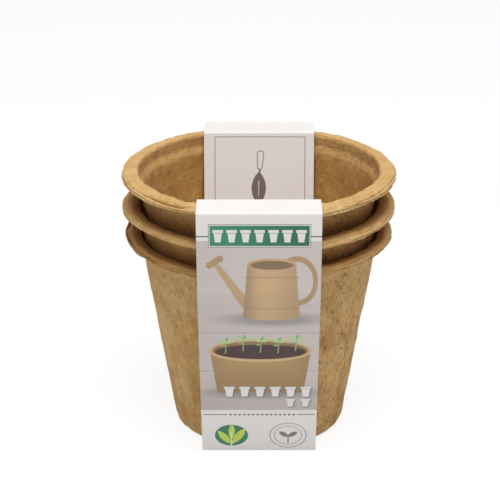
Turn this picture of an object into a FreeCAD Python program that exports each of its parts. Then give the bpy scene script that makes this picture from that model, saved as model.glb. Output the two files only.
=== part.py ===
"""Three moulded-fibre plant pots, nested one in another and held by one creased card sleeve.

Millimetres, +Z up, front towards -Y. The origin is under the middle of the sleeve, on the ground.
The sleeve is a single strip of card: up the front of the stack, over the front rim, down inside the top
pot, across its floor, up and over the back rim, down the back, with a flap from under the pots glued behind.
"""
import FreeCAD
import Part
import math
import os

Vector = FreeCAD.Vector

# Pot: all three are the same moulding
pot_height = 80.0
rim_radius = 52.5
lip_width = 7.2
lip_height = 3.8
lip_crown_share = 0.62        # of the lip's height, eased at its upper outer edge
lip_crown_flat_count = 2           # narrow cones that make that easing
collar_below_lip = 1.4        # short upright band under the lip
shoulder_height = 2.6
shoulder_step = 1.5           # how far the shoulder draws the wall in
wall = 1.4
foot_radius = 33.35           # the wall's outer line, carried down to the ground
base_corner_radius = 2.0
base_corner_flat_count = 1
base_thickness = 1.6
drain_radius = 4.0

# Stack: how the pots sit in each other
nest_gap = 0.32               # between one pot's wall and the next
loose_rise = 2.4              # the top pot is pushed in less far than the middle one

# Card sleeve
card = 0.4
card_gap = 0.3                # between the card and the curved faces it passes
crease_radius = 0.5           # of the card's middle, at each fold
bow_radius = 24.0             # where the card bows round the lowest lip
bow_drop = 4.6                # middle of that bow, below the lowest lip
floor_crease_inset = 2.6      # the creases in the top pot stay this far inside its floor's edge
sleeve_width = 44.3           # at the rims
sleeve_foot_width = 43.4      # at the ground
flap_length = 17.0            # turned up behind the pots, from the back crease
seam_lift = 2.0               # the back panel stops this far above the back crease

# Glue between the flap and the back panel
glue_thickness = 0.15
glue_length = 9.0
glue_start = 4.0              # from the back crease
glue_side_margin = 6.0        # card left dry at each side of the glue

# One overrun serves every cutting block
overrun = 2.0


def unit(start, end):
    """Direction from one flat point to another."""
    length = math.dist(start, end)
    return ((end[0] - start[0]) / length, (end[1] - start[1]) / length)


def along(start, direction, distance):
    """The flat point reached from start."""
    return (start[0] + direction[0] * distance, start[1] + direction[1] * distance)


def left_of(direction):
    """The flat direction a quarter turn to the left."""
    return (-direction[1], direction[0])


def parallel(points, distance):
    """A line beside the one through the points, its corners mitred; the distance is to the left."""
    directions = [unit(a, b) for a, b in zip(points, points[1:])]
    before = [directions[0]] + directions
    after = directions + [directions[-1]]
    moved = []
    for point, d1, d2 in zip(points, before, after):
        n1, n2 = left_of(d1), left_of(d2)
        mitre = distance / (1.0 + n1[0] * n2[0] + n1[1] * n2[1])
        moved.append((point[0] + (n1[0] + n2[0]) * mitre, point[1] + (n1[1] + n2[1]) * mitre))
    return moved


def rounded_face(corners, place):
    """A face whose outline is straight lines, with an arc at each (u, v, radius) corner."""
    edges = []
    starts, ends = [], []
    count = len(corners)
    for i, (u, v, radius) in enumerate(corners):
        corner = (u, v)
        d1 = unit(corners[i - 1][:2], corner)
        d2 = unit(corner, corners[(i + 1) % count][:2])
        half_turn = math.acos(max(-1.0, min(1.0, d1[0] * d2[0] + d1[1] * d2[1]))) / 2
        reach = radius * math.tan(half_turn)
        starts.append(along(corner, d1, -reach))
        ends.append(along(corner, d2, reach))
        if radius > 0:
            inward = unit((0, 0), (d2[0] - d1[0], d2[1] - d1[1]))
            middle = along(corner, inward, radius / math.cos(half_turn) - radius)
            arc = Part.Arc(place(*starts[i]), place(*middle), place(*ends[i]))
            edges.append(arc.toShape())
        else:
            edges.append(None)
    loop = []
    for i in range(count):
        if edges[i]:
            loop.append(edges[i])
        loop.append(Part.LineSegment(place(*ends[i]), place(*starts[(i + 1) % count])).toShape())
    return Part.Face(Part.Wire(loop))


def eased_corner(before, corner, after, radius, flats):
    """The points of a corner cut by flats, all on the arc of the given radius that touches its two sides."""
    d1, d2 = unit(before, corner), unit(corner, after)
    turn = math.atan2(d1[0] * d2[1] - d1[1] * d2[0], d1[0] * d2[0] + d1[1] * d2[1])
    start = along(corner, d1, -radius * math.tan(abs(turn) / 2))
    inward = left_of(d1) if turn > 0 else left_of((-d1[0], -d1[1]))
    centre = along(start, inward, radius)
    points = []
    for step in range(flats + 1):
        angle = abs(turn) * step / flats
        points.append(along(along(centre, inward, -radius * math.cos(angle)), d1, radius * math.sin(angle)))
    return points


def upright(r, z):
    """A point of the pot's section, at radius r."""
    return Vector(r, 0, z)


def sideways(y, z):
    """A point of the sleeve's section, seen from the side."""
    return Vector(0, y, z)


# Pot section, worked out from its sizes
mouth_radius = rim_radius - lip_width
collar_radius = mouth_radius + wall
lip_under = pot_height - lip_height
collar_foot = lip_under - collar_below_lip
shoulder_foot = collar_foot - shoulder_height
shoulder_radius = collar_radius - shoulder_step
wall_lean = math.atan((shoulder_radius - foot_radius) / shoulder_foot)
wall_across = wall / math.cos(wall_lean)
floor_radius = foot_radius + base_thickness * math.tan(wall_lean) - wall_across
corner_reach_share = math.tan((math.pi / 2 - wall_lean) / 2)


def pot_section():
    """The closed outline of a pot's wall: from the drain hole out, up, over the lip and down the inside."""
    drain_foot = (drain_radius, 0)
    foot = (foot_radius, 0)
    shoulder = (shoulder_radius, shoulder_foot)
    collar = (collar_radius, collar_foot)
    lip_foot = (rim_radius, lip_under)
    lip_edge = (rim_radius, pot_height)
    mouth = (mouth_radius, pot_height)
    _, inner_shoulder, inner_collar, _ = parallel([foot, shoulder, collar, (collar_radius, pot_height)], wall)
    return [
        drain_foot,
        *eased_corner(drain_foot, foot, shoulder, base_corner_radius, base_corner_flat_count),
        shoulder,
        collar,
        (collar_radius, lip_under),
        lip_foot,
        *eased_corner(lip_foot, lip_edge, mouth, lip_height * lip_crown_share, lip_crown_flat_count),
        mouth,
        inner_collar,
        inner_shoulder,
        (floor_radius, base_thickness),
        (drain_radius, base_thickness),
    ]


def pot(level):
    """One pot, its base at the given level: its section turned round the axis."""
    section = rounded_face([(*point, 0) for point in pot_section()], upright)
    body = section.revolve(Vector(0, 0, 0), Vector(0, 0, 1), 360)
    body.translate(Vector(0, 0, level))
    return body


def nesting_rise():
    """How far a pot stands above the one it is pushed into: its wall, shoulder or base meets first."""
    by_wall = (wall + nest_gap) / math.sin(wall_lean)
    by_shoulder = pot_height - shoulder_foot + nest_gap
    by_base = base_thickness + nest_gap
    return max(by_wall, by_shoulder, by_base)


rise = nesting_rise()
pot_levels = {"pot_bottom": card, "pot_middle": card + rise, "pot_top": card + 2 * rise + loose_rise}
stack_top = pot_levels["pot_top"] + pot_height


def panel_past_base(away):
    """A panel's line from beside the lowest lip down past the base corner, and where it meets the ground.

    The line touches a circle round the corner's centre: from a point outside, the angle between the centre
    and the touching line has the circle's radius over the distance as its sine. All in the half plane y > 0.
    """
    top = (sleeve_side, bow_level)
    corner_height = pot_levels["pot_bottom"] + base_corner_radius
    corner = (foot_radius - base_corner_radius * corner_reach_share, corner_height)
    clear = base_corner_radius + card_gap + card / 2 + away
    to_corner = math.atan2(corner[1] - top[1], corner[0] - top[0])
    heading = to_corner + math.asin(clear / math.dist(top, corner))
    direction = (math.cos(heading), math.sin(heading))
    ground = along(top, direction, (card / 2 - top[1]) / direction[1])
    return direction, ground


def chord_depth(radius):
    """How far from the axis a panel of the sleeve's width stands inside a round wall of this radius."""
    return math.sqrt((radius - card_gap) ** 2 - (sleeve_width / 2) ** 2) - card / 2


# Sleeve section, worked out from the stack
sleeve_side = rim_radius + card_gap + card / 2
sleeve_top = stack_top + card_gap + card / 2
bow_level = pot_levels["pot_bottom"] + lip_under - bow_drop
seam_step = card + glue_thickness
front_direction, front_crease = panel_past_base(0)
back_direction, back_foot = panel_past_base(seam_step)
up_the_back = (-back_direction[0], -back_direction[1])
back_crease_y = back_foot[0] - seam_step / abs(back_direction[1])


def inner_creases():
    """Where the inner panels crease: y at the rim, then y and z on the top pot's floor."""
    floor_z = pot_levels["pot_top"] + base_thickness + card / 2
    floor_y = chord_depth(floor_radius - floor_crease_inset)
    mouth_lean = (chord_depth(mouth_radius) - floor_y) / (stack_top - floor_z)
    shoulder_z = pot_levels["pot_top"] + shoulder_foot
    shoulder_lean = (chord_depth(shoulder_radius - wall_across) - floor_y) / (shoulder_z - floor_z)
    rim_y = floor_y + min(mouth_lean, shoulder_lean) * (sleeve_top - floor_z)
    return rim_y, floor_y, floor_z


def sleeve_path():
    """The card's middle, from the top of the hidden flap all the way round to the end of the back panel.

    Each point is (y, z, fold radius).
    """
    rim_y, floor_y, floor_z = inner_creases()
    back_crease = (back_crease_y, card / 2)
    flap_end = along(back_crease, up_the_back, flap_length)
    seam_end = along(back_foot, up_the_back, seam_lift)
    return [
        (*flap_end, 0),
        (*back_crease, crease_radius),
        (-front_crease[0], card / 2, crease_radius),
        (-sleeve_side, bow_level, bow_radius),
        (-sleeve_side, sleeve_top, crease_radius),
        (-rim_y, sleeve_top, crease_radius),
        (-floor_y, floor_z, crease_radius),
        (floor_y, floor_z, crease_radius),
        (rim_y, sleeve_top, crease_radius),
        (sleeve_side, sleeve_top, crease_radius),
        (sleeve_side, bow_level, bow_radius),
        (*seam_end, 0),
    ]


def card_sleeve():
    """The card strip: its folded section drawn out sideways, then trimmed to its slightly tapered outline."""
    path = sleeve_path()
    middle = [point[:2] for point in path]
    corners = []
    for side in (1, -1):
        line = parallel(middle, side * card / 2)
        folds = []
        for i, (y, z) in enumerate(line):
            radius = path[i][2]
            if radius > 0:
                d1 = unit(middle[i - 1], middle[i])
                d2 = unit(middle[i], middle[i + 1])
                turns_left = d1[0] * d2[1] - d1[1] * d2[0] > 0
                radius += -side * card / 2 if turns_left else side * card / 2
            folds.append((y, z, radius))
        corners += folds if side > 0 else folds[::-1]
    strip = rounded_face(corners, sideways).extrude(Vector(sleeve_width, 0, 0))
    strip.translate(Vector(-sleeve_width / 2, 0, 0))
    (sleeve,) = strip.common(sleeve_outline()).Solids
    return sleeve


def sleeve_outline():
    """A block with the strip's outline seen from the front: it narrows a little towards the ground."""
    top = sleeve_top + card / 2
    half_top, half_foot = sleeve_width / 2, sleeve_foot_width / 2
    depth = sleeve_side + overrun
    outline = Part.makePolygon([
        Vector(-half_foot, -depth, 0),
        Vector(half_foot, -depth, 0),
        Vector(half_top, -depth, top),
        Vector(-half_top, -depth, top),
        Vector(-half_foot, -depth, 0),
    ])
    return Part.Face(outline).extrude(Vector(0, 2 * depth, 0))


def glue_strip():
    """The flat strip of glue between the flap and the back panel, lying on both."""
    outward = (up_the_back[1], -up_the_back[0])
    on_flap = along((back_crease_y, card / 2), outward, card / 2)
    start = along(on_flap, up_the_back, glue_start)
    end = along(start, up_the_back, glue_length)
    corners = [start, end, along(end, outward, glue_thickness), along(start, outward, glue_thickness)]
    half = sleeve_foot_width / 2 - glue_side_margin
    strip = rounded_face([(*corner, 0) for corner in corners], sideways).extrude(Vector(2 * half, 0, 0))
    strip.translate(Vector(-half, 0, 0))
    return strip


def main():
    os.makedirs("parts", exist_ok=True)
    pieces = {name: pot(level) for name, level in pot_levels.items()}
    pieces["card_sleeve"] = card_sleeve()
    pieces["glue_strip"] = glue_strip()
    for name, piece in pieces.items():
        piece.exportStep(f"parts/{name}.step")
        box = piece.BoundBox
        print(f"{name}: {piece.ShapeType}, valid {piece.isValid()}, {piece.Volume / 1000:.2f} cm3, "
              f"x {box.XMin:.2f} {box.XMax:.2f}, y {box.YMin:.2f} {box.YMax:.2f}, "
              f"z {box.ZMin:.2f} {box.ZMax:.2f}")
    print(f"rise {rise:.2f}, wall leans {math.degrees(wall_lean):.2f} degrees, stack top {stack_top:.2f}")
    print("sleeve path", [tuple(round(value, 2) for value in point) for point in sleeve_path()])


main()
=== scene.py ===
"""Three nested fibre pots held by a printed card sleeve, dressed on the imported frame.

Metres, +Z up, front towards -Y. Meshes are worked out with numpy, and finishes are made of shader nodes.
"""
import math
from collections import namedtuple

import bpy
import numpy as np
from bpy.props import FloatProperty, FloatVectorProperty, IntProperty, PointerProperty
from bpy.types import Operator, Panel, PropertyGroup
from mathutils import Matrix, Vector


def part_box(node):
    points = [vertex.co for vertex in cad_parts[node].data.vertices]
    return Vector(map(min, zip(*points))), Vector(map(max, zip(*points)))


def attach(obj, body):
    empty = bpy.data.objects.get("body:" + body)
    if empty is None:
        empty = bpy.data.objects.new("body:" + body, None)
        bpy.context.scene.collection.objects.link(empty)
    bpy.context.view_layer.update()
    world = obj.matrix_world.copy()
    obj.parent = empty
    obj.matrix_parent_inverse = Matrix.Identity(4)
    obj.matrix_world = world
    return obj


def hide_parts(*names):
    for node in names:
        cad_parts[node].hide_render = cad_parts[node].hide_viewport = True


bl_info = {
    "name": "Fibre pot pack",
    "version": (1, 0, 0),
    "blender": (4, 5, 0),
    "location": "View3D > Sidebar > Pot pack",
    "description": "Nested moulded-fibre pots in a creased card sleeve",
    "category": "Add Mesh",
}

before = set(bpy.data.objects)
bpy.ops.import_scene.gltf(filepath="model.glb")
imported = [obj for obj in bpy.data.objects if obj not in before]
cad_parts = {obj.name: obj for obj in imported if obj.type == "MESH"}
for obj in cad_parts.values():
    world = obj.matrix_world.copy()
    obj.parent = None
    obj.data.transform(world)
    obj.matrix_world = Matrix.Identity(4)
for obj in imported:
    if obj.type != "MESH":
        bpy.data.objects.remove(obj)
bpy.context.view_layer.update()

MM = 0.001
POT_NODES = ("pot_bottom", "pot_middle", "pot_top")
POT_BODIES = ("bottom_pot", "middle_pot", "top_pot")


# Colours

def light(red, green, blue):
    """A colour as seen on a screen, 0 to 255, as linear light: each part over 255, to the power 2.2."""
    return tuple((part / 255) ** 2.2 for part in (red, green, blue))


def opaque(colour):
    """A colour with full alpha, as sockets want it."""
    return (*tuple(colour)[:3], 1)


# Shader building

class Value:
    """An output of a node. Arithmetic on it adds Math nodes."""

    def __init__(self, shader, socket):
        self.shader = shader
        self.socket = socket

    def __add__(self, other):
        return self.shader.math("ADD", self, other)

    def __sub__(self, other):
        return self.shader.math("SUBTRACT", self, other)

    def __rsub__(self, other):
        return self.shader.math("SUBTRACT", other, self)

    def __mul__(self, other):
        return self.shader.math("MULTIPLY", self, other)

    def __truediv__(self, other):
        return self.shader.math("DIVIDE", self, other)

    def __abs__(self):
        return self.shader.math("ABSOLUTE", self)

    __radd__ = __add__
    __rmul__ = __mul__


class Shader:
    """The nodes of a material or a world under construction."""

    def __init__(self, owner):
        owner.use_nodes = True
        self.owner = owner
        self.tree = owner.node_tree
        self.tree.nodes.clear()

    def node(self, kind, sockets=None, output=0, **settings):
        """Adds any node: its settings first, then the values or links of its sockets."""
        made = self.tree.nodes.new(kind)
        for key, setting in settings.items():
            setattr(made, key, setting)
        for key, value in (sockets or {}).items():
            if isinstance(value, Value):
                self.tree.links.new(value.socket, made.inputs[key])
            else:
                made.inputs[key].default_value = value
        return None if output is None else Value(self, made.outputs[output])

    def math(self, operation, *values, clamp=False):
        return self.node("ShaderNodeMath", dict(enumerate(values)), operation=operation, use_clamp=clamp)

    def least(self, a, b):
        return self.math("MINIMUM", a, b)

    def most(self, a, b):
        return self.math("MAXIMUM", a, b)

    def limit(self, value):
        """The value held between 0 and 1."""
        return self.math("ADD", value, 0, clamp=True)

    def rise(self, value, low, high):
        """0 below low, 1 above high, smooth between."""
        sockets = {"Value": value, "From Min": low, "From Max": high}
        return self.node("ShaderNodeMapRange", sockets, interpolation_type="SMOOTHSTEP")

    def mix(self, share, first, second):
        """first where share is 0, second where it is 1."""
        first, second = (each if isinstance(each, Value) else opaque(each) for each in (first, second))
        return self.node("ShaderNodeMix", {0: share, 6: first, 7: second}, 2, data_type="RGBA")

    def shade(self, colour, strength):
        """A colour times a number."""
        return self.node("ShaderNodeVectorMath", {0: colour, "Scale": strength}, operation="SCALE")

    def tinted(self, colour, tint):
        """A colour times another, part by part."""
        return self.node("ShaderNodeVectorMath", {0: colour, 1: tint}, operation="MULTIPLY")

    def mesh_value(self, name):
        """A number that the mesh carries at its points."""
        return self.node("ShaderNodeAttribute", None, "Fac", attribute_name=name)

    def place(self, squeeze=(1, 1, 1), shift=(0, 0, 0)):
        """Object coordinates, scaled by squeeze and then shifted."""
        here = self.node("ShaderNodeTexCoord", output="Object")
        return self.node("ShaderNodeMapping", {"Vector": here, "Scale": squeeze, "Location": shift})

    def parts(self, vector):
        """A vector's three numbers."""
        split = self.node("ShaderNodeSeparateXYZ", {"Vector": vector})
        return [Value(self, out) for out in split.socket.node.outputs]

    def noise(self, place, size, detail=2, roughness=0.5):
        """Noise whose lumps are about size millimetres across."""
        sockets = {"Vector": place, "Scale": 1 / (size * MM), "Detail": detail, "Roughness": roughness}
        return self.node("ShaderNodeTexNoise", sockets, "Fac")

    def spots(self, place, size, radius, share):
        """1 inside spots: within radius, in cells of size millimetres, of the points of a share of cells."""
        sockets = {"Vector": place, "Scale": 1 / (size * MM)}
        cell = self.node("ShaderNodeTexVoronoi", sockets, "Distance")
        outputs = cell.socket.node.outputs
        draw = self.parts(Value(self, outputs["Color"]))[0]
        return (1 - self.rise(cell, radius * 0.55, radius)) * self.rise(draw, 1 - share, 1.02 - share)

    def seen_rays(self):
        """1 for the camera's rays and for those that a mirror or glass sends on."""
        rays = self.node("ShaderNodeLightPath").socket.node.outputs
        mirrored = self.most(Value(self, rays["Is Glossy Ray"]), Value(self, rays["Is Transmission Ray"]))
        return self.most(Value(self, rays["Is Camera Ray"]), mirrored)

    def relief(self, height, depth):
        """A Bump node: height 0 to 1 stands for depth metres."""
        return self.node("ShaderNodeBump", {"Height": height, "Distance": depth, "Strength": 1})

    def finish(self, **sockets):
        """The Principled surface with these sockets, put out as the material."""
        named = {key.replace("_", " ").title().replace("Ior", "IOR"): value for key, value in sockets.items()}
        return self.put_out(self.node("ShaderNodeBsdfPrincipled", named), "ShaderNodeOutputMaterial")

    def put_out(self, surface, kind):
        """Ends in an output node of this kind, and gives back the material or world."""
        self.node(kind, {"Surface": surface}, None)
        return self.owner


# Meshes

def unit(vectors):
    """Vectors over their lengths."""
    return vectors / np.linalg.norm(vectors, axis=-1, keepdims=True)


def joined(*parts):
    """Arrays of numbers, each spread to the shape of all, as the parts of vectors."""
    return np.stack(np.broadcast_arrays(*parts), axis=-1)


def left(vectors):
    """Flat vectors turned a quarter turn to the left."""
    return joined(-vectors[..., 1], vectors[..., 0])


def round_axis(angle, radius, height):
    """Points (radius cos a, radius sin a, height)."""
    return joined(radius * np.cos(angle), radius * np.sin(angle), height)


ARC_STEP = 0.3 * MM
CARD_STEP = 1.3 * MM
GLUE_ROWS = 28


def rounded_line(corners, spacings, closed):
    """A line through corners (across, up, radius), sampled: straight runs, and arcs that touch both runs.

    An arc starts its radius times the tangent of half the turn before the corner, and its points are its
    centre plus the start's arm, turned by equal steps. Each corner's spacing holds on the run after it.
    """
    points, radii = corners[:, :2], corners[:, 2]
    before = unit(points - np.roll(points, 1, axis=0))
    after = np.roll(before, -1, axis=0)
    turn = np.arctan2(before[:, 0] * after[:, 1] - before[:, 1] * after[:, 0], (before * after).sum(axis=1))
    if not closed:
        turn[[0, -1]] = 0
    reach = radii * np.tan(np.abs(turn) / 2)
    starts = points - before * reach[:, None]
    ends = points + after * reach[:, None]
    centres = starts + left(before) * (np.sign(turn) * radii)[:, None]
    line = []
    for i in range(len(points)):
        steps = max(1, math.ceil(abs(turn[i]) * radii[i] / ARC_STEP)) if reach[i] > 0 else 0
        angle = np.linspace(0, turn[i], steps + 1)[:, None]
        arm = starts[i] - centres[i]
        line.append(centres[i] + arm * np.cos(angle) + left(arm) * np.sin(angle))
        if closed or i < len(points) - 1:
            gap = starts[(i + 1) % len(points)] - ends[i]
            count = math.ceil(np.linalg.norm(gap) / spacings[i])
            line.append(ends[i] + gap * np.linspace(0, 1, count + 1)[1:-1, None])
    return np.concatenate(line)


def waves(points, shortest, longest, seed, count=36):
    """Smooth noise of mean 0 and spread 1: plane sine waves of random heading, length and phase, added up.

    Their lengths go from shortest to longest, in millimetres.
    """
    draw = np.random.default_rng(seed)
    heading = unit(draw.normal(size=(count, 3)))
    span = draw.uniform(shortest * MM, longest * MM, count)
    phase = draw.uniform(0, 2 * np.pi, count)
    across = points @ (heading * (2 * np.pi / span)[:, None]).T
    return np.sin(across + phase).sum(axis=-1) * np.sqrt(2 / count)


def patches(points, middle, spread, shortest, longest, seed, count=36):
    """Waves times the spread, about the middle, held between 0 and 1."""
    return np.clip(middle + spread * waves(points, shortest, longest, seed, count), 0, 1)


def bell(offset, width):
    """1 at no offset, and falling off to both sides: e to the minus square of the offset over the width."""
    return np.exp(-(offset / width) ** 2)


def run_along(line):
    """How far along a line each of its points is."""
    return np.concatenate([[0], np.cumsum(np.linalg.norm(np.diff(line, axis=0), axis=1))])


def ramp(values, low, high):
    """0 below low, 1 above high, and 3t^2 - 2t^3 between."""
    t = np.clip((values - low) / (high - low), 0, 1)
    return t * t * (3 - 2 * t)


def ring_faces(rows, columns, closed):
    """Quads of a grid whose rows are rings of points, point (i, j) being number i * columns + j."""
    i = np.arange(rows if closed else rows - 1)[:, None]
    j = np.arange(columns)[None, :]
    i2, j2 = (i + 1) % rows, (j + 1) % columns
    quads = joined(i * columns + j, i2 * columns + j, i2 * columns + j2, i * columns + j2)
    return quads.reshape(-1, 4)


def fill(data, key, values, kind=np.float32):
    """Writes a whole array into a mesh's data."""
    data.foreach_set(key, np.ascontiguousarray(values, dtype=kind).ravel())


def put(name, data):
    """A new object with this data, in the scene."""
    holder = bpy.data.objects.new(name, data)
    bpy.context.scene.collection.objects.link(holder)
    return holder


def make_mesh(name, points, quads, materials, slots=None, carried=None):
    """A mesh object from points and quads, with slot numbers for quads and named numbers at points."""
    mesh = bpy.data.meshes.new(name)
    mesh.vertices.add(len(points))
    fill(mesh.vertices, "co", points)
    mesh.loops.add(quads.size)
    fill(mesh.loops, "vertex_index", quads, np.int32)
    mesh.polygons.add(len(quads))
    fill(mesh.polygons, "loop_start", np.arange(0, quads.size, 4), np.int32)
    for material in materials:
        mesh.materials.append(material)
    if slots is not None:
        fill(mesh.polygons, "material_index", slots, np.int32)
    for key, values in (carried or {}).items():
        fill(mesh.attributes.new(key, "FLOAT", "POINT").data, "value", values)
    mesh.update(calc_edges=True)
    mesh.validate()
    mesh.shade_smooth()
    return put(name, mesh)


# Settings

def amount(name, description, default, **kind):
    """A number that a user can set."""
    return FloatProperty(name=name, description=description, default=default, **kind)


def length(name, description, default):
    """A length that a user can set, given in millimetres and kept in metres."""
    return amount(name, description, default * MM, unit="LENGTH")


def swatch(name, description, default):
    """A colour that a user can set, in linear light."""
    return FloatVectorProperty(name=name, description=description, default=default, subtype="COLOR")


class PotSizes(PropertyGroup):
    """Sizes of one moulded pot; its height and rim come from the frame."""

    lip_width: length("Lip width", "From the mouth to the rim's edge", 7.2)
    lip_height: length("Lip height", "Thickness of the lip", 3.8)
    lip_crown: length("Lip crown", "Radius of the lip's upper outer edge", 2.3)
    lip_under: length("Lip underside", "Radius of its lower outer edge", 1.3)
    mouth_edge: length("Mouth edge", "Radius of the lip's inner edge", 1.4)
    collar: length("Collar", "Height of the band under the lip", 1.4)
    shoulder_height: length("Shoulder height", "Height of the sloping shoulder", 2.6)
    shoulder_step: length("Shoulder step", "How far the shoulder draws in", 1.5)
    wall: length("Wall", "Thickness of the wall", 1.4)
    foot_radius: length("Foot radius", "Outer wall carried to the ground", 33.35)
    base_corner: length("Base corner", "Radius where wall and base meet", 2)
    base_thickness: length("Base thickness", "Thickness of the base", 1.6)
    drain_radius: length("Drain radius", "Radius of the drain hole", 4)
    around: IntProperty(name="Steps around", description="Points round a pot", default=520, min=24)


class PotFinish(PropertyGroup):
    """Unevenness and colours of the moulded fibre, and the tints of its painted shade."""

    lumps: length("Lumps", "Depth of the broad unevenness", 0.36)
    small_lumps: length("Small lumps", "Depth of the middling unevenness", 0.18)
    rough: length("Roughness", "Depth of the fine unevenness", 0.12)
    edge_wander: length("Edge wander", "How far the rim's edge draws in", 0.5)
    edge_wear: length("Edge wear", "Depth of worn spots on the edges", 0.55)
    split_depth: length("Splits", "Depth of the splits in the lip's edge", 0.8)
    tear_middle: amount("Tear", "Where the top lip has its long tear", math.radians(-133), subtype="ANGLE")
    tear_reach: amount("Tear reach", "From its middle to its ends", math.radians(17), subtype="ANGLE")
    tear_depth: length("Tear depth", "Depth of the long tear", 1.3)
    thinning: length("Thinning", "How far the lip's edge thins", 1.3)
    lowest_trim: length("Lowest rim trim", "The lowest pot's rim is this much smaller", 0.9)
    tan: swatch("Tan", "Main colour of the fibre", light(225, 187, 129))
    pale: swatch("Pale", "Light fibre and worn edges", light(232, 204, 152))
    deep: swatch("Deep", "Darker fibre between", light(197, 154, 96))
    fleck: swatch("Fleck", "Dark bark flecks", light(134, 96, 48))
    ruddy: swatch("Ruddy", "Red-brown bark chips and stains", light(150, 96, 52))
    # Painted shade: this tint darkens the inner face, where less light reaches
    inner_shade_tint: swatch("Hollow tint", "Darkens the inner face", (0.67, 0.55, 0.38))
    # Painted shade: this tint darkens the gaps between the pots, the covered part of a lip, the lowest lip
    # and the tear
    painted_shade_tint: swatch("Tuck tint", "Darkens the gaps", (0.5, 0.37, 0.26))


class SleeveSizes(PropertyGroup):
    """Sizes of the card sleeve that the frame doesn't give."""

    card: length("Card", "Thickness of the card", 0.4)
    crease: length("Crease radius", "Of the card's middle at a fold", 0.5)
    bow: length("Bow radius", "Where it bows round the lowest lip", 24)
    bow_level: length("Bow level", "Height of the middle of that bow", 72)
    front_foot: length("Front foot", "Front base crease, from the axis", 33.65)
    back_foot: length("Back foot", "Back base crease, from the axis", 33.66)
    rim_crease: length("Rim crease", "Inner crease, from the axis", 39.1)
    floor_crease: length("Floor crease", "Crease on the pot's floor", 18.97)
    foot_width: length("Width at the ground", "It is widest at the rims", 43.4)
    flap: length("Flap", "Length of the hidden flap", 17)
    seam_lift: length("Seam lift", "Back panel's end above its foot", 2)
    glue: length("Glue", "Thickness of the glue", 0.15)
    sway: length("Sway", "Height of the card's faint waves", 0.06)


class SleeveColours(PropertyGroup):
    """Inks and board of the sleeve."""

    white: swatch("Card white", "Coated face", (0.89, 0.852, 0.835))
    board: swatch("Board", "Uncoated inner face", light(206, 200, 190))
    green: swatch("Dark green", "Plate and rules", light(52, 128, 100))
    lime: swatch("Lime", "Leaves of the emblem", light(198, 222, 92))
    grey: swatch("Grey", "Fine lines and an emblem", light(140, 140, 140))
    plank: swatch("Planks", "Painted planks", light(216, 206, 201))
    clay: swatch("Picture tan", "The can", light(212, 177, 135))
    dark_clay: swatch("Picture brown", "The trough", light(189, 154, 106))
    soil: swatch("Picture soil", "Soil in the picture", light(72, 52, 50))
    sprout: swatch("Sprouts", "Seedlings in the picture", light(186, 218, 152))


class StageSettings(PropertyGroup):
    """Light, floor and camera."""

    sky: amount("Sky", "Even light from all round", 0.35, min=0)
    top_power: amount("Top lamp", "Soft lamp above", 9.5, unit="POWER")
    distance: amount("Distance", "From the camera to its target", 0.61904, unit="LENGTH")
    elevation: amount("Elevation", "Angle above the horizon", 0.3826, subtype="ANGLE")
    target: amount("Target height", "Height that the camera looks at", 0.06944, unit="LENGTH")
    focal_share: amount("Focal share", "Focal length over the picture's width", 3.1932, min=0.1)
    axis_offset_share: amount("Axis offset", "Pots' axis right of the middle, over the width", 0.018)


# Pots

def pot_outline(sizes, height, rim):
    """The closed outline (radius, height) of a pot: out along the base, up, over the lip and down inside."""
    mouth = rim - sizes.lip_width
    collar = mouth + sizes.wall
    lip_under = height - sizes.lip_height
    collar_foot = lip_under - sizes.collar
    shoulder_foot = collar_foot - sizes.shoulder_height
    shoulder = collar - sizes.shoulder_step
    foot = (sizes.foot_radius, 0)
    outer = np.array([foot, (shoulder, shoulder_foot), (collar, collar_foot), (collar, height)])
    headings = unit(np.diff(outer, axis=0))
    sides = left(headings)
    shared = (sides[:-1] + sides[1:]) / (1 + (sides[:-1] * sides[1:]).sum(axis=1, keepdims=True))
    inner_shoulder, inner_collar = outer[1:3] + shared * sizes.wall
    lean = headings[0][0] / headings[0][1]
    floor_radius = sizes.foot_radius + sizes.base_thickness * lean - sizes.wall / headings[0][1]
    fine, middling, coarse = 0.25 * MM, 0.6 * MM, 3 * MM
    corners = np.array([
        (sizes.drain_radius, 0, 0.3 * MM),
        (sizes.foot_radius, 0, sizes.base_corner),
        (shoulder, shoulder_foot, 2 * MM),
        (collar, collar_foot, 0.7 * MM),
        (collar, lip_under, 0.6 * MM),
        (rim, lip_under, sizes.lip_under),
        (rim, height, sizes.lip_crown),
        (mouth, height, sizes.mouth_edge),
        (*inner_collar, 1.2 * MM),
        (*inner_shoulder, 2.4 * MM),
        (floor_radius, sizes.base_thickness, 3 * MM),
        (sizes.drain_radius, sizes.base_thickness, 0.3 * MM),
    ])
    spacings = [coarse] * 2 + [middling] * 3 + [fine] * 2 + [middling] * 2 + [coarse] * 3
    return rounded_line(corners, spacings, closed=True)


SPLIT_LEVELS = (0.42, 0.7, 0.9)
GROOVE_PLACES = (0.38, 0.66)
BELOW_SPLIT, BESIDE_TEAR = 0.45 * MM, 0.95 * MM


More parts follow.
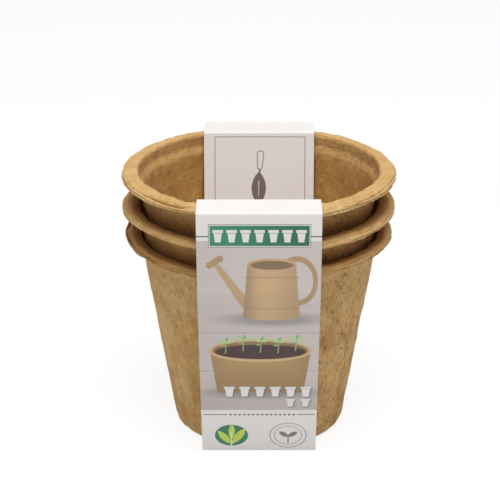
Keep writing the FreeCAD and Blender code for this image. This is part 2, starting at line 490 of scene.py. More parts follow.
def moulded_pot(name, level, rise, sizes, finish, seed, lip, material):
    """One pot: its outline turned round the axis, then pressed in, never out, as moulded pulp is uneven.

    A point moves along the outline's inward side by broad and fine waves, by worn spots on the lip's edges,
    and by wandering splits round the lip's edge and grooves on its top. On a torn lip, one long tear crosses
    the crown slantwise. The lip also draws in, sags and thins from below, each by its own slow wave round
    the pot, and it sits lower to the left by its slump. Rise is how far the pot stands above the one below,
    0 for the lowest.

    The points carry "hollow", 1 on the inner face and less towards its top, where the fibre paints shade, and
    "frayed", 1 beside the splits and the tear. They also carry a mask of painted shade: 1 deep in the gap
    above the pot below and on the inner part of a covered lip, up to its dusk on the rest of the lip, and 0.8
    in the tear.
    """
    low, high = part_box(POT_NODES[0])
    height, rim = high[2] - low[2], (high[0] - low[0]) / 2
    outline = pot_outline(sizes, height, rim)
    side = left(unit(np.roll(outline, -1, axis=0) - np.roll(outline, 1, axis=0)))
    angle = np.linspace(0, 2 * np.pi, sizes.around, endpoint=False)[:, None]
    r, z = outline[None, :, 0], outline[None, :, 1]
    here = round_axis(angle, r, z)

    width, thick, crown = sizes.lip_width, sizes.lip_height, sizes.lip_crown
    lip_under = height - thick
    collar_foot = lip_under - sizes.collar
    on_lip = ramp(z, lip_under - 0.3 * MM, lip_under + 0.4 * MM)
    past_collar = ramp(r, rim - width + sizes.wall, rim)
    on_edge = ramp(r, rim - 1.3 * crown, rim - 0.7 * crown) * on_lip
    lip_top = ramp(z, height - 0.5 * thick, height)
    mouth_edge = lip_top * (1 - ramp(r, rim - width, rim - 0.75 * width))
    crown_edge = lip_top * past_collar * ramp(r, rim - 1.2 * crown, rim - 0.4 * crown)

    lumps = patches(here, 0.5, 0.3, 7, 26, seed) * finish.lumps
    small_lumps = patches(here, 0.5, 0.3, 3.5, 9, seed + 15)
    rough = patches(here, 0.5, 0.3, 1.5, 4.5, seed + 1, 60) * finish.rough
    worn = np.clip(waves(here, 3.5, 11, seed + 2, 48) - 0.7, 0, 1.2) * finish.edge_wear
    press = lumps + small_lumps * finish.small_lumps + rough * (1 + 0.6 * lip_top)
    press += worn * np.maximum(mouth_edge * 0.7, crown_edge)

    rim_line = round_axis(angle, rim, 0)
    frayed = np.zeros_like(press)
    for number, share in enumerate(SPLIT_LEVELS):
        wander = waves(rim_line, 9, 40, seed + 5 + number, 24)
        shown = patches(rim_line, 0.4, 0.8, 10, 45, seed + 9 + number, 24)
        middle = lip_under + thick * (share + 0.05 * wander)
        press += bell(z - middle, 0.2 * MM) * shown * on_edge * finish.split_depth
        frayed += bell(z - middle + BELOW_SPLIT, 0.25 * MM) * shown * on_edge
    for number, share in enumerate(GROOVE_PLACES):
        wander = waves(rim_line, 12, 50, seed + 16 + number, 24)
        shown = patches(rim_line, 0.15, 0.8, 14, 60, seed + 18 + number)
        middle = rim - width * (1 - share - 0.06 * wander)
        press += bell(r - middle, 0.3 * MM) * shown * lip_top * finish.split_depth * 0.4

    past_tear = (angle + np.pi) % (2 * np.pi) - np.pi - finish.tear_middle
    opened = np.clip(1.2 - 1.2 * (past_tear / finish.tear_reach) ** 2, 0, 1) * lip.torn
    slant = ramp(past_tear, -finish.tear_reach, finish.tear_reach)
    wander = 0.03 * waves(rim_line, 3, 14, seed + 21, 24)
    middle = rim - width * (0.13 + 0.17 * slant + wander)
    torn_top = np.maximum(lip_top, on_edge) * opened
    tear = bell(r - middle, 0.5 * MM) * torn_top
    press += tear * finish.tear_depth
    frayed += bell(r - middle - BESIDE_TEAR, 0.35 * MM) * torn_top

    drawn_in = patches(rim_line, 0.22, 0.3, 22, 90, seed + 3, 24)
    sag = patches(rim_line, 0.35, 0.35, 18, 80, seed + 4, 24)
    to_left = 0.5 - 0.5 * np.cos(angle)
    thinned = 0.55 + 0.3 * waves(rim_line, 25, 80, seed + 13, 24)
    thinned = thinned - 0.4 * lip.dusk * to_left - lip.full * (1 - to_left) - 0.8 * opened
    thinned = np.clip(thinned, 0.1, 1)
    level_share = 1 - lip.held * ramp(-to_left, -0.5, -0.3)
    drawn_in = drawn_in * finish.edge_wander + lip.trimmed * finish.lowest_trim
    new_r = r + side[None, :, 0] * press - past_collar * on_lip * drawn_in
    crown_fall = 0.35 * MM * ramp(r, rim - 0.62 * width, rim - 0.2 * width)
    slump = lip.slump * ramp(to_left, 0.35, 0.75)
    fall = ((sag * 0.45 * MM * past_collar + crown_fall) * level_share + slump) * lip_top
    under = past_collar * np.clip((height - z) / thick, 0, 1) * (z > collar_foot)
    new_z = z + side[None, :, 1] * press - fall + under * thinned * finish.thinning
    new_z = np.clip(new_z, 0, height) + level
    points = round_axis(angle, new_r, new_z).reshape(-1, 3)

    # The inner face, less towards its top: the fibre paints shade on it and gives it fewer flecks
    facing_in = np.where(z < 0.5 * lip_under, np.maximum(side[:, 0], -side[:, 1]), side[:, 0])
    hollow = ramp(facing_in, 0.15, 0.6) * (1 - 0.55 * ramp(z, height - 11 * MM, height - 6 * MM))
    # Painted shade: a mask that is high deep in the gap above the pot below, on the covered inner part of a
    # lip, on the lowest lip's outer face and in the tear
    mouth_below = height - rise
    depth = 1 - 0.6 * ramp(z, mouth_below, lip_under)
    in_gap = ramp(z, mouth_below - 6 * MM, mouth_below - 2 * MM) * depth
    in_gap = in_gap * ramp(-facing_in, -0.1, 0.3) * (rise > 0) * (1 - on_lip)
    shaded_lip = 1 - ramp(r, rim - 0.75 * width, rim - 0.15 * width)
    painted_shade = np.maximum(in_gap, lip_top * shaded_lip * lip.covered)
    # Painted shade on the lowest lip's outer face, stronger to the left
    shade = on_lip * past_collar * lip.dusk * (0.3 + 0.7 * to_left)
    # Painted shade in the tear, joined to the rest
    painted_shade = np.maximum(painted_shade, np.maximum(shade, 0.8 * tear))
    carried = {"hollow": hollow, "painted_shade": painted_shade, "frayed": np.clip(frayed, 0, 1)}
    carried = {key: np.broadcast_to(values, new_r.shape) for key, values in carried.items()}
    quads = ring_faces(sizes.around, r.size, True)
    return make_mesh(name, points, quads, [material], carried=carried)


def fibre(name, level, finish, seed):
    """Pressed wood fibre: mottled tan, bark flecks (more of them to the right), pale ends and streaks,
    painted shade.
    """
    s = Shader(bpy.data.materials.new(name))
    shift = (0.31 * seed, 0.17 * seed, 0.23 * seed)
    even = s.place(shift=shift)
    upright = s.place((1, 1, 0.28), shift)
    streaky = s.place((1, 1, 0.06), shift)
    across, back, height = s.parts(s.node("ShaderNodeTexCoord", output="Object"))
    height = height - level
    to_right = s.rise(across - 0.6 * back, -20 * MM, 45 * MM)

    broad = s.noise(even, 13)
    cloud = s.noise(even, 3.4, 3, 0.6)
    grain = s.noise(even, 0.9, 3, 0.65)
    hair = s.noise(upright, 0.7, 2, 0.6)
    streak = s.noise(streaky, 1.5, 3)
    patch = s.rise(s.noise(even, 15, 1), 0.4, 0.62)
    ruddy = s.rise(s.noise(s.place((1, 1, 0.6), (7, 3, 5)), 14, 1), 0.5, 0.66)
    bark = s.noise(s.place((1, 1, 0.36), shift), 1.15, 2.5, 0.55)
    chip = s.noise(s.place((1, 1, 0.6), (2, 9, 4)), 1.3, 2.5, 0.6)
    stain = s.rise(s.noise(s.place((1, 1, 0.8), (4, 6, 1)), 8, 3), 0.45, 0.65)
    dash = s.spots(upright, 1.7, 0.24, 0.3)
    speck = s.spots(s.place((1, 1, 0.5), shift), 1.5, 0.26, 0.35)

    hollow = s.mesh_value("hollow")
    wall_only = (1 - s.rise(height, 74 * MM, 80 * MM)) * (1 - 0.8 * hollow)
    mottle = (broad - 0.5) * 1.3 + (cloud - 0.5) * 1.25 + (grain - 0.5) * 0.9
    tone = 0.5 + mottle + (streak - 0.5) * 0.8 * wall_only
    colour = s.mix(s.limit(tone), finish.deep, finish.tan)
    plain_inside = 1 - 0.7 * hollow
    colour = s.mix(s.rise(hair, 0.57, 0.75) * 0.55 * plain_inside, colour, finish.pale)
    colour = s.mix(speck * 0.5 * plain_inside, colour, finish.pale)
    colour = s.mix(s.rise(height, 88 * MM, 93 * MM) * 0.25, colour, finish.pale)
    flakes = s.rise(bark, 0.62 - 0.04 * patch, 0.72) * (0.3 + 0.7 * patch) * (0.2 + 0.8 * wall_only)
    flakes = flakes * (0.45 + 0.55 * to_right)
    chips = s.rise(chip, 0.58, 0.66) * s.most(ruddy * 0.6, to_right) * wall_only
    dark = flakes * 0.62 + dash * (0.1 + 0.32 * wall_only) * (0.5 + 0.5 * to_right)
    colour = s.mix(s.limit(dark), colour, finish.fleck)
    low_down = 1 - s.rise(height, 20 * MM, 70 * MM)
    stained = 0.12 + (0.22 + 0.1 * to_right) * low_down
    colour = s.mix(stain * stained * wall_only, colour, finish.ruddy)
    colour = s.mix(chips * 0.7, colour, finish.ruddy)
    colour = s.mix(s.mesh_value("frayed") * s.rise(cloud, 0.35, 0.6) * 0.7, colour, finish.pale)
    # Painted shade on the inner face, a little uneven
    shaded = s.limit(hollow * (1.06 + (s.noise(even, 4.5) - 0.5) * 1.6))
    colour = s.mix(shaded, colour, s.tinted(colour, finish.inner_shade_tint))
    # Painted shade in the gaps, on covered lips, on the lowest lip and in the tear
    colour = s.mix(s.mesh_value("painted_shade"), colour, s.tinted(colour, finish.painted_shade_tint))

    dents = s.limit(flakes + chips * 0.8 + dash * wall_only)
    fine = ((grain - 0.5) * 0.8 + (hair - 0.5) * 0.4) * plain_inside
    lift = 0.5 + (cloud - 0.5) * 1.2 + fine - dents * 0.5
    normal = s.relief(lift, 0.55 * MM)
    roughness = 0.86 + (grain - 0.5) * 0.2
    return s.finish(base_color=colour, roughness=roughness, normal=normal, specular_ior_level=0.25)


# How each lip differs, from the lowest pot up: trimmed smaller, covered by the next (which paints shade on
# its inner part), in painted shade and torn; then how far it slumps to the left, and how level and how thick
# it keeps to the right
Lip = namedtuple("Lip", "trimmed covered dusk torn slump held full")
LIPS = (
    Lip(1, 1, 0.7, 0, 1.1 * MM, 0, 0),
    Lip(0, 1, 0, 0, 0.4 * MM, 1, 0.2),
    Lip(0, 0, 0, 1, 0, 0, 0.7),
)


class POTPACK_OT_pots(Operator):
    """Dress the three pots"""

    bl_idname = "potpack.pots"
    bl_label = "Make the pots"

    def execute(self, context):
        sizes, finish = context.scene.pot_sizes, context.scene.pot_finish
        level_below = None
        for number, (node, body, lip) in enumerate(zip(POT_NODES, POT_BODIES, LIPS)):
            level = float(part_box(node)[0][2])
            rise = level - level_below if number else 0
            level_below = level
            seed = 11 + 20 * number
            material = fibre(f"{node}_fibre", level, finish, seed)
            piece = moulded_pot(f"{node}_moulding", level, rise, sizes, finish, seed, lip, material)
            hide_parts(node)
            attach(piece, body)
        return {"FINISHED"}


# Sleeve

SEAM_RUN = 0.57 * MM
FRONT_TOP, REAR_TOP, BACK_TOP = 4, 8, 9


def sleeve_corners(sizes):
    """The card's middle as corners (y, z, fold radius), from the flap's end round to the back panel's.

    The back panel comes down SEAM_RUN behind the flap. The prints start at the three corners numbered above.
    """
    half_card = sizes.card / 2
    side, top = np.array(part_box("card_sleeve")[1])[1:] - half_card
    floor = float(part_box(POT_NODES[2])[0][2]) + bpy.context.scene.pot_sizes.base_thickness + half_card
    seam_foot = np.array([sizes.back_foot + SEAM_RUN, half_card])
    up_the_back = unit(np.array([side, sizes.bow_level]) - seam_foot)
    flap_end = np.array([sizes.back_foot, half_card]) + up_the_back * sizes.flap
    seam_end = seam_foot + up_the_back * sizes.seam_lift
    return np.array([
        (*flap_end, 0),
        (sizes.back_foot, half_card, sizes.crease),
        (-sizes.front_foot, half_card, sizes.crease),
        (-side, sizes.bow_level, sizes.bow),
        (-side, top, sizes.crease),
        (-sizes.rim_crease, top, sizes.crease),
        (-sizes.floor_crease, floor, sizes.crease),
        (sizes.floor_crease, floor, sizes.crease),
        (sizes.rim_crease, top, sizes.crease),
        (side, top, sizes.crease),
        (side, sizes.bow_level, sizes.bow),
        (*seam_end, 0),
    ])


STRIP_COLUMNS = 40
FACE_SLOT, INNER_SLOT, EDGE_SLOT = 0, 1, 2


def slab(name, line, half_widths, thickness, materials, ruffle=None):
    """A strip of even thickness: the line (y, z) is its middle seen from the side, drawn out across x.

    A point of its face is the line's point plus half the thickness along the line's side, at x from plus to
    minus the half width there, with the ruffle's height added. The ring of points round the strip is repeated
    along the line, and both ends are closed. Its UV is x and the length along the line, in metres.
    """
    rows, columns = len(line), STRIP_COLUMNS
    away = left(unit(np.gradient(line, axis=0)))
    run = run_along(line)
    across = np.linspace(1, -1, columns)[None, :] * half_widths[:, None]
    height = ruffle(across, run[:, None]) if ruffle else np.zeros_like(across)
    x = np.concatenate([across, across[:, ::-1]], axis=1)
    height = np.concatenate([height + thickness / 2, (height - thickness / 2)[:, ::-1]], axis=1)
    ring = np.concatenate([x[..., None], line[:, None] + height[..., None] * away[:, None]], axis=-1)
    quads = ring_faces(rows, 2 * columns, False)
    slot_row = np.repeat([FACE_SLOT, EDGE_SLOT, INNER_SLOT, EDGE_SLOT], [columns - 1, 1, columns - 1, 1])
    k = np.arange(columns - 1)
    back = 2 * columns - 1 - k
    start_cap = joined(k, k + 1, back - 1, back)
    end_cap = start_cap[:, ::-1] + (rows - 1) * 2 * columns
    quads = np.concatenate([quads, start_cap, end_cap])
    slots = np.concatenate([np.tile(slot_row, rows - 1), np.full(2 * (columns - 1), EDGE_SLOT)])
    piece = make_mesh(name, ring.reshape(-1, 3), quads, materials, slots)
    flat = joined(x, run[:, None]).reshape(-1, 2)
    loops = np.empty(len(piece.data.loops), dtype=np.int32)
    piece.data.loops.foreach_get("vertex_index", loops)
    fill(piece.data.uv_layers.new(name="strip").data, "uv", flat[loops])
    piece.data.set_sharp_from_angle(angle=math.radians(50))
    return piece


class Print(Shader):
    """Inks on the card, drawn by distance: a form is a distance in millimetres, negative inside it.

    A form is measured at the panel's spot (across, down), or at another that it is given. Ink goes on its
    paper, which is a colour.
    """

    def box(self, middle, half, spot=None):
        """The larger of the two distances past a box's sides."""
        x, y = spot or self.spot
        return self.most(abs(x - middle[0]) - half[0], abs(y - middle[1]) - half[1])

    def oval(self, middle, half, spot=None):
        """Length of the offset in half axes, less 1, times the shorter half axis."""
        x, y = spot or self.spot
        across, down = (x - middle[0]) / half[0], (y - middle[1]) / half[1]
        return (self.math("SQRT", across * across + down * down) - 1) * min(half)

    def rod(self, start, end, thick, thin, spot=None):
        """Distance from the run between two points, less a radius that goes from thick to thin along it."""
        x, y = spot or self.spot
        dx, dy = end[0] - start[0], end[1] - start[1]
        px, py = x - start[0], y - start[1]
        share = self.limit((px * dx + py * dy) / (dx * dx + dy * dy))
        qx, qy = px - share * dx, py - share * dy
        return self.math("SQRT", qx * qx + qy * qy) - (thick + share * (thin - thick))

    def tub(self, middle, top, bottom, half_top, half_bottom, spot=None):
        """A box whose half width goes from half_top to half_bottom on the way down."""
        x, y = spot or self.spot
        slope = (half_bottom - half_top) / (bottom - top)
        sides = abs(x - middle) - (half_top + (y - top) * slope)
        return self.most(sides, abs(y - (top + bottom) / 2) - (bottom - top) / 2)

    def little_pot(self, spot, tub, rim_level, rim_half):
        """A tub (top, bottom, half_top, half_bottom) and the box of its rim."""
        return self.least(self.tub(0, *tub, spot), self.box((0, rim_level), rim_half, spot))

    def leaf(self, start, end, fat, spot=None):
        """A pointed leaf from start to end: inside both of two discs whose arcs meet at its tips."""
        x, y = spot or self.spot
        dx, dy = end[0] - start[0], end[1] - start[1]
        long = math.hypot(dx, dy)
        middle = ((start[0] + end[0]) / 2, (start[1] + end[1]) / 2)
        along = ((x - middle[0]) * dx + (y - middle[1]) * dy) / long
        over = ((y - middle[1]) * dx - (x - middle[0]) * dy) / long
        radius = (long * long / 4 + fat * fat) / (2 * fat)
        lean = abs(over) + (radius - fat)
        return self.math("SQRT", along * along + lean * lean) - radius

    def repeat(self, x, middle, pitch, count):
        """Offset from the nearest of count places, a pitch apart and centred on the middle."""
        half = (count - 1) / 2
        number = self.math("ROUND", (x - middle) / pitch + half)
        number = self.least(self.most(number, 0), count - 1)
        return x - middle - (number - half) * pitch

    def inside(self, distance, soft):
        """1 inside the form and 0 outside, over a soft edge."""
        return self.limit(0.5 - distance / soft)

    def ink(self, form, colour, soft=0.12, strength=1):
        """Lays colour on the paper inside the form."""
        mask = self.inside(form, soft)
        self.paper = self.mix(mask * strength if strength != 1 else mask, self.paper, colour)


PICTURE_TOP, PICTURE_FOOT = 10.1, 85.7


def picture(s, inks):
    """A potting bench: a tan watering can behind a long tan trough of seedlings, on pale planks."""
    x, d = s.spot
    paper = s.paper
    streaks = s.node("ShaderNodeMapping", {"Vector": s.strip_place, "Scale": (0.12, 1, 1)})
    grain = s.noise(streaks, 0.9, 3, 0.6)
    plank = s.mix(s.limit(0.5 + (grain - 0.5) * 1.6), inks.plank * 0.93, inks.plank)
    s.paper = s.shade(plank, 1 - 0.16 * s.rise(d, 66, 84) - 0.05 * s.rise(0 - x, 4, 20))
    for line in (48, 66.3):
        s.ink(abs(d - line) - 0.16, inks.plank * 0.62, 0.5)
        s.ink(abs(d - line - 0.9) - 0.3, inks.plank * 1.06, 0.9, 0.5)
    s.ink(s.oval((5, 41.6), (17, 3)), inks.plank * 0.42, 2.4, 0.7)
    s.ink(s.oval((0.5, 77), (19.5, 2.6)), inks.plank * 0.38, 2.2, 0.75)

    shine = s.rise(x, -6, 1) - 0.55 * s.rise(x, 3, 15)
    can_tan = s.mix(s.limit(shine), inks.clay * 0.62, inks.clay)
    s.ink(abs(s.oval((13.5, 25.5), (6.6, 8.6))) - 0.85, inks.clay * 0.72, 0.3)
    s.ink(s.rod((-4, 35.5), (-15.5, 18.6), 2, 0.9), inks.clay * 0.86, 0.3)
    s.ink(s.rod((-17.6, 19.4), (-13.8, 16.8), 1.2, 1.2), inks.clay * 0.7, 0.3)
    s.ink(s.tub(4.5, 19, 40, 8.6, 10.2), can_tan, 0.3)
    s.ink(s.oval((4.5, 40), (10.2, 2.1)), can_tan, 0.3)
    for line in (24, 36.6):
        s.ink(s.box((4.5, line), (9.6, 0.22)), inks.clay * 0.66, 0.5, 0.8)
    s.ink(s.oval((4.5, 19), (8.7, 2.3)), inks.clay * 0.95, 0.25)
    s.ink(s.oval((4.5, 19.3), (7.7, 1.7)), inks.clay * 0.4, 0.3)

    trough = s.mix(s.rise(d, 58, 77), inks.dark_clay, inks.dark_clay * 0.72)
    trough = s.mix(s.rise(abs(x), 9, 18) * 0.5, trough, inks.dark_clay * 0.66)
    s.ink(s.tub(0.5, 57, 77, 18.4, 16), trough, 0.3)
    s.ink(s.oval((0.5, 56.4), (18.9, 5.4)), inks.clay * 1.1, 0.25)
    s.ink(s.oval((0.5, 56.2), (17.4, 4.3)), inks.dark_clay * 0.6, 0.3)
    crumbs = s.rise(s.noise(s.strip_place, 0.55, 2, 0.7), 0.5, 0.75)
    s.ink(s.oval((0.5, 57), (16.8, 3.5)), s.mix(crumbs, inks.soil, inks.soil * 2.6), 0.3)

    near = s.repeat(x, 0.5, 6.4, 5)
    seedling = (near, d - s.math("SINE", (x - near) * 0.36) * 0.7)
    leaves = [s.leaf(*leaf, seedling) for leaf in (
        ((0.4, 51.9), (-2.5, 50.4), 0.85),
        ((0.4, 51.9), (3, 50.9), 0.8),
        ((0.3, 53.2), (-1.7, 53.6), 0.5),
        ((0.3, 51.6), (0.9, 49.4), 0.5),
    )]
    s.ink(s.rod((0, 57), (0.4, 51.8), 0.2, 0.16, seedling), inks.sprout * 0.7, 0.2)
    s.ink(s.least(leaves[2], leaves[3]), inks.sprout * 0.62, 0.2)
    s.ink(s.least(leaves[0], leaves[1]), inks.sprout, 0.2)

    for shift, colour, soft in ((0.35, inks.plank * 0.22, 0.8), (0, inks.white, 0.16)):
        upper = (s.repeat(x - shift, 3.2, 5.7, 6), d - shift)
        lower = (s.repeat(x - shift, 14.6, 5.7, 2), d - shift)
        upper_row = s.little_pot(upper, (75.2, 79, 1.6, 1.1), 74.6, (2, 0.5))
        lower_row = s.little_pot(lower, (81.2, 84, 1.3, 0.9), 80.7, (1.7, 0.45))
        s.ink(s.least(upper_row, lower_row), colour, soft)
    bench, s.paper = s.paper, paper
    s.ink(abs(d - (PICTURE_TOP + PICTURE_FOOT) / 2) - (PICTURE_FOOT - PICTURE_TOP) / 2, bench)


def heading(s, inks):
    """The green plate with its rule and a row of plain pot outlines, and the rule below the picture."""
    x, d = s.spot
    s.ink(abs(d - 8.4) - 0.2, inks.green * 0.5, 0.15)
    plate = s.mix(s.rise(x, -18, 18), inks.green * 1.25, inks.green * 0.72)
    for half, colour in (((18.1, 4.35), inks.grey * 0.8), ((17.85, 4.1), inks.white), ((17.55, 3.8), plate)):
        s.ink(s.box((0.2, 8.15), half), colour, 0.15)
    pots = (s.repeat(x, 0.2, 4.9, 7), d)
    s.ink(s.little_pot(pots, (7.2, 10.6, 1.45, 1), 6.5, (1.85, 0.55)), inks.white, 0.15)
    s.ink(s.box((0, 88.1), (21, 0.17)), inks.green * 0.6, 0.2)
    s.ink(s.box((1.2, 88.1), (13.2, 0.7)), inks.white, 0.1)
    dots = (s.repeat(x, 1.2, 1.7, 15), d)
    s.ink(s.box((0, 88.1), (0.42, 0.42), dots), inks.grey * 0.6, 0.2)


def emblems(s, inks):
    """Two plain emblems below the picture: a green disc with leaves, and a grey oval with a seedling."""
    s.ink(s.oval((-10.5, 98.8), (6.3, 5.4)), inks.green)
    for leaf in (((-10.3, 103.3), (-5.2, 95.2), 1.5), ((-10.7, 103.3), (-15.6, 96.4), 1.4),
                 ((-10.5, 101), (-10.3, 92.9), 1.2)):
        s.ink(s.leaf(*leaf), inks.lime)
    s.ink(s.rod((-10.5, 104.2), (-10.5, 97), 0.25, 0.15), inks.white)
    for half, width in (((6.9, 6.3), 0.16), ((5.2, 4.7), 0.12)):
        s.ink(abs(s.oval((11.1, 98.8), half)) - width, inks.grey, 0.2)
    for tip in (7.6, 14.6):
        s.ink(s.leaf((11.1, 99.6), (tip, 96.9), 1), inks.grey * 0.8)
    s.ink(s.rod((11.1, 102.4), (11.1, 98.6), 0.28, 0.22), inks.grey * 0.8)


def trowel(s, inks):
    """A thin frame with a trowel drawn in it, on the panel inside the back of the top pot."""
    s.ink(abs(s.box((0.4, 34), (18.1, 32.3))) - 0.17, inks.grey * 1.15, 0.22)
    dark = light(122, 108, 102)
    s.ink(abs(s.rod((0.6, 8.6), (0.3, 14), 1.3, 0.9)) - 0.16, dark, 0.2)
    s.ink(s.rod((0.3, 14.8), (0.1, 18.4), 0.35, 0.3), dark, 0.2)
    s.ink(s.leaf((0, 15.6), (-0.2, 29.2), 2.9), dark, 0.2)
    s.ink(s.rod((-0.05, 19.5), (-0.2, 26), 0.2, 0.1), inks.white * 0.8, 0.3)


def three_discs(s, inks):
    """Two rules on the back, and between them three plain discs, each with a pot; two pots have leaves."""
    x, d = s.spot
    for line in (8.7, 92):
        s.ink(s.box((0, line), (17.5, 0.2)), inks.green * 0.6, 0.15)
    y = s.repeat(d, 50, 25, 3)
    disc = s.oval((0, 0), (9.6, 9.6), (x, y))
    s.ink(disc, inks.plank)
    s.ink(abs(disc) - 0.3, inks.green, 0.2)
    low_leaves = s.leaf((0, -2.4), (3.9, -4.2), 0.9, (abs(x), y))
    s.ink(s.most(low_leaves, 38 - d), inks.green, 0.15)
    high_leaves = s.leaf((0, -4.2), (2.9, -7), 0.8, (abs(x), y))
    high_leaves = s.least(high_leaves, s.rod((0, -2), (0, -5.6), 0.22, 0.16, (x, y)))
    s.ink(s.most(high_leaves, 63 - d), inks.green, 0.15)
    s.ink(s.little_pot((x, y), (-1, 5.6, 3.3, 2.4), -1.7, (4, 0.9)), inks.clay * 0.86, 0.15)


def printed_card(inks, front_top, rear_top, back_top):
    """Coated white card, printed: all places are millimetres across, and down from a panel's top crease.

    Each panel has its way down, the middle and half length of its print, and what is drawn on it.
    """
    s = Print(bpy.data.materials.new("printed_card"))
    s.strip_place = s.node("ShaderNodeUVMap", None, "UV", uv_map="strip")
    across, along, _ = s.parts(s.strip_place)
    x = across / MM
    colour = inks.white
    for down, middle, half, drawings in (
        ((front_top - along) / MM, 54, 53.5, (picture, heading, emblems)),
        ((rear_top - along) / MM, 40, 39.5, (trowel,)),
        ((along - back_top) / MM, 52, 50, (three_discs,)),
    ):
        s.spot, s.paper = (x, down), inks.white
        for draw in drawings:
            draw(s, inks)
        colour = s.mix(s.inside(abs(down - middle) - half, 0.1), colour, s.paper)
    fine = s.noise(s.place(), 0.5)
    colour = s.shade(colour, 0.985 + 0.03 * (fine - 0.5))
    gloss = 0.4 + 0.12 * (s.noise(s.place(), 6) - 0.5)
    return s.finish(base_color=colour, roughness=gloss, normal=s.relief(fine, 0.01 * MM))


def plain_board(name, colour, depth):
    """Uncoated board: fine fibres lying all ways."""
    s = Shader(bpy.data.materials.new(name))
    felt = s.noise(s.place(), 0.5, 4, 0.7)
    hair = s.noise(s.place((1, 0.3, 0.3)), 0.25)
    colour = s.mix(s.rise(hair, 0.6, 0.75) * 0.4, colour, colour * 0.8)
    tone = s.shade(colour, 0.94 + 0.14 * (felt - 0.5))
    return s.finish(base_color=tone, roughness=0.8 + 0.2 * (felt - 0.5), normal=s.relief(felt, depth))


class POTPACK_OT_sleeve(Operator):
    """Dress the card sleeve"""

    bl_idname = "potpack.sleeve"
    bl_label = "Make the card sleeve"

    def execute(self, context):
        sizes, inks = context.scene.sleeve_sizes, context.scene.sleeve_colours
        corners = sleeve_corners(sizes)
        line = rounded_line(corners, [CARD_STEP] * len(corners), closed=False)
        run = run_along(line)
        tops = [
            float(run[np.argmin(np.linalg.norm(line - corners[number, :2], axis=1))])
            for number in (FRONT_TOP, REAR_TOP, BACK_TOP)
        ]
        low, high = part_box("card_sleeve")
        half_top, half_foot = (high[0] - low[0]) / 2, sizes.foot_width / 2
        half_widths = half_foot + (half_top - half_foot) * line[:, 1] / high[2]
        materials = [
            printed_card(inks, *tops),
            plain_board("sleeve_board", inks.board, 0.03 * MM),
            plain_board("sleeve_cut_edge", inks.white * 0.97, 0.02 * MM),
        ]
        standing = ramp(np.abs(np.gradient(line[:, 1])), 0.15 * MM, 0.6 * MM)[:, None]

        def sway(across, along):
            """Slow waves over the strip, always towards its inner side, and none where it lies flat."""
            height = np.clip(waves(joined(across, along, 0), 25, 90, 5, 24) / 2.5, -1, 1) - 1
            return height * standing * sizes.sway

        piece = slab("card_sleeve_strip", line, half_widths, sizes.card, materials, sway)
        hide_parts("card_sleeve")
        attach(piece, "sleeve")
        return {"FINISHED"}


# Glue

def dried_glue():
    """Pale dried glue, a little yellow and glossy, with fine wrinkles."""
    s = Shader(bpy.data.materials.new("dried_glue"))
    wrinkle = s.noise(s.place(), 1.2, 3)
    colour = s.mix(wrinkle, light(222, 212, 182), light(240, 233, 210))
    return s.finish(base_color=colour, roughness=0.3 + 0.2 * wrinkle, normal=s.relief(wrinkle, 0.05 * MM))


class POTPACK_OT_glue(Operator):
    """Dress the glue between the flap and the back panel"""

    bl_idname = "potpack.glue"
    bl_label = "Make the glue"

    def execute(self, context):
        sizes = context.scene.sleeve_sizes
        low, high = np.array(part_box("glue_strip"))
        flap_end, flap_foot = sleeve_corners(sizes)[:2, :2]
        lean = unit(flap_end - flap_foot)
        thick = sizes.glue
        start = low[1:] + thick * lean[::-1] / 2
        run = np.linspace(0, (high[2] - low[2] - thick * lean[0]) / lean[1], GLUE_ROWS)[:, None]
        wavy = waves(run * np.array([1, 0, 0]), 2, 7, 3, 12)
        drawn_back = (0.5 + 0.2 * np.clip(wavy, -2, 2)) * 1.2 * MM
        half_widths = (high[0] - low[0]) / 2 - drawn_back
        piece = slab("glue_line", start + lean * run, half_widths, thick, [dried_glue()] * 3)
        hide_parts("glue_strip")
        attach(piece, "sleeve")
        return {"FINISHED"}


# Stage

POTS_MIDDLE = np.array([0, 0, 0.06])
LAMP_PLACE = np.array([0.03, -0.3, 1])
LAMP_SIZE = 0.8
GROUND_REACH = 6


def top_lamp(power):
    """A square area lamp aimed at the pots' middle."""
    lamp = bpy.data.lights.new("top_lamp", "AREA")
    lamp.size = LAMP_SIZE
    lamp.energy = power
    holder = put("top_lamp", lamp)
    holder.location = LAMP_PLACE
    aim = POTS_MIDDLE - LAMP_PLACE
    tilt = math.atan2(math.hypot(aim[0], aim[1]), -aim[2])
    holder.rotation_euler = (tilt, 0, math.atan2(aim[1], aim[0]) - math.pi / 2)


def white_ground():
    """Matt white floor that the camera sees as white paper under an even light, with the shadow kept."""
    s = Shader(bpy.data.materials.new("ground"))
    glow = s.node("ShaderNodeEmission", {"Strength": 0.85})
    dull = s.node("ShaderNodeBsdfDiffuse", {"Color": opaque((0.2, 0.2, 0.2))})
    paper = s.node("ShaderNodeAddShader", {0: glow, 1: dull})
    floor = s.node("ShaderNodeBsdfDiffuse", {"Color": opaque((0.88, 0.88, 0.88))})
    shown = s.node("ShaderNodeMixShader", {0: s.seen_rays(), 1: floor, 2: paper})
    return s.put_out(shown, "ShaderNodeOutputMaterial")


def studio_sky(strength):
    """Even white light from all round, which the camera and clear reflections see at full white."""
    s = Shader(bpy.data.worlds.new("studio"))
    back = s.node("ShaderNodeBackground", {"Strength": strength + s.seen_rays() * (1 - strength)})
    return s.put_out(back, "ShaderNodeOutputWorld")


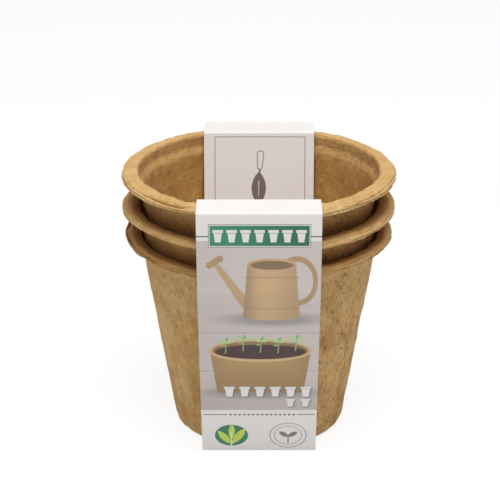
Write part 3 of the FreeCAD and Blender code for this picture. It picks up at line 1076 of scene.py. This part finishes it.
class POTPACK_OT_stage(Operator):
    """Set the floor, the lamp, the sky and the camera"""

    bl_idname = "potpack.stage"
    bl_label = "Set the stage"

    def execute(self, context):
        settings = context.scene.stage_settings
        corners = GROUND_REACH * np.array([(-1, -1, 0), (1, -1, 0), (1, 1, 0), (-1, 1, 0)])
        ground = make_mesh("ground", corners, np.array([[0, 1, 2, 3]]), [white_ground()])

        context.scene.world = studio_sky(settings.sky)
        top_lamp(settings.top_power)

        camera = bpy.data.cameras.new("camera")
        camera.sensor_width = 36
        camera.lens = camera.sensor_width * settings.focal_share
        camera.shift_x = -settings.axis_offset_share
        camera.clip_start = 0.01
        holder = put("camera", camera)
        back_off = settings.distance * math.cos(settings.elevation)
        holder.location = (0, -back_off, settings.target + settings.distance * math.sin(settings.elevation))
        holder.rotation_euler = (math.pi / 2 - settings.elevation, 0, 0)
        context.scene.camera = holder
        context.scene.view_settings.view_transform = "Standard"
        return {"FINISHED"}


# Add-on

class POTPACK_PT_panel(Panel):
    """The pack's pieces and their settings"""

    bl_idname = "POTPACK_PT_panel"
    bl_label = "Pot pack"
    bl_space_type = "VIEW_3D"
    bl_region_type = "UI"
    bl_category = "Pot pack"

    def draw(self, context):
        for operator in OPERATORS:
            self.layout.operator(operator.bl_idname)
        for name in GROUPS:
            group = getattr(context.scene, name)
            box = self.layout.box()
            for key in group.__annotations__:
                box.prop(group, key)


OPERATORS = (POTPACK_OT_pots, POTPACK_OT_sleeve, POTPACK_OT_glue, POTPACK_OT_stage)
GROUPS = {
    "pot_sizes": PotSizes,
    "pot_finish": PotFinish,
    "sleeve_sizes": SleeveSizes,
    "sleeve_colours": SleeveColours,
    "stage_settings": StageSettings,
}
CLASSES = (*GROUPS.values(), *OPERATORS, POTPACK_PT_panel)


def register():
    for each in CLASSES:
        bpy.utils.register_class(each)
    for name, group in GROUPS.items():
        setattr(bpy.types.Scene, name, PointerProperty(type=group))


def unregister():
    for name in GROUPS:
        delattr(bpy.types.Scene, name)
    for each in reversed(CLASSES):
        bpy.utils.unregister_class(each)


def main():
    register()
    bpy.ops.potpack.pots()
    bpy.ops.potpack.sleeve()
    bpy.ops.potpack.glue()
    bpy.ops.potpack.stage()


if __name__ == "__main__":
    main()
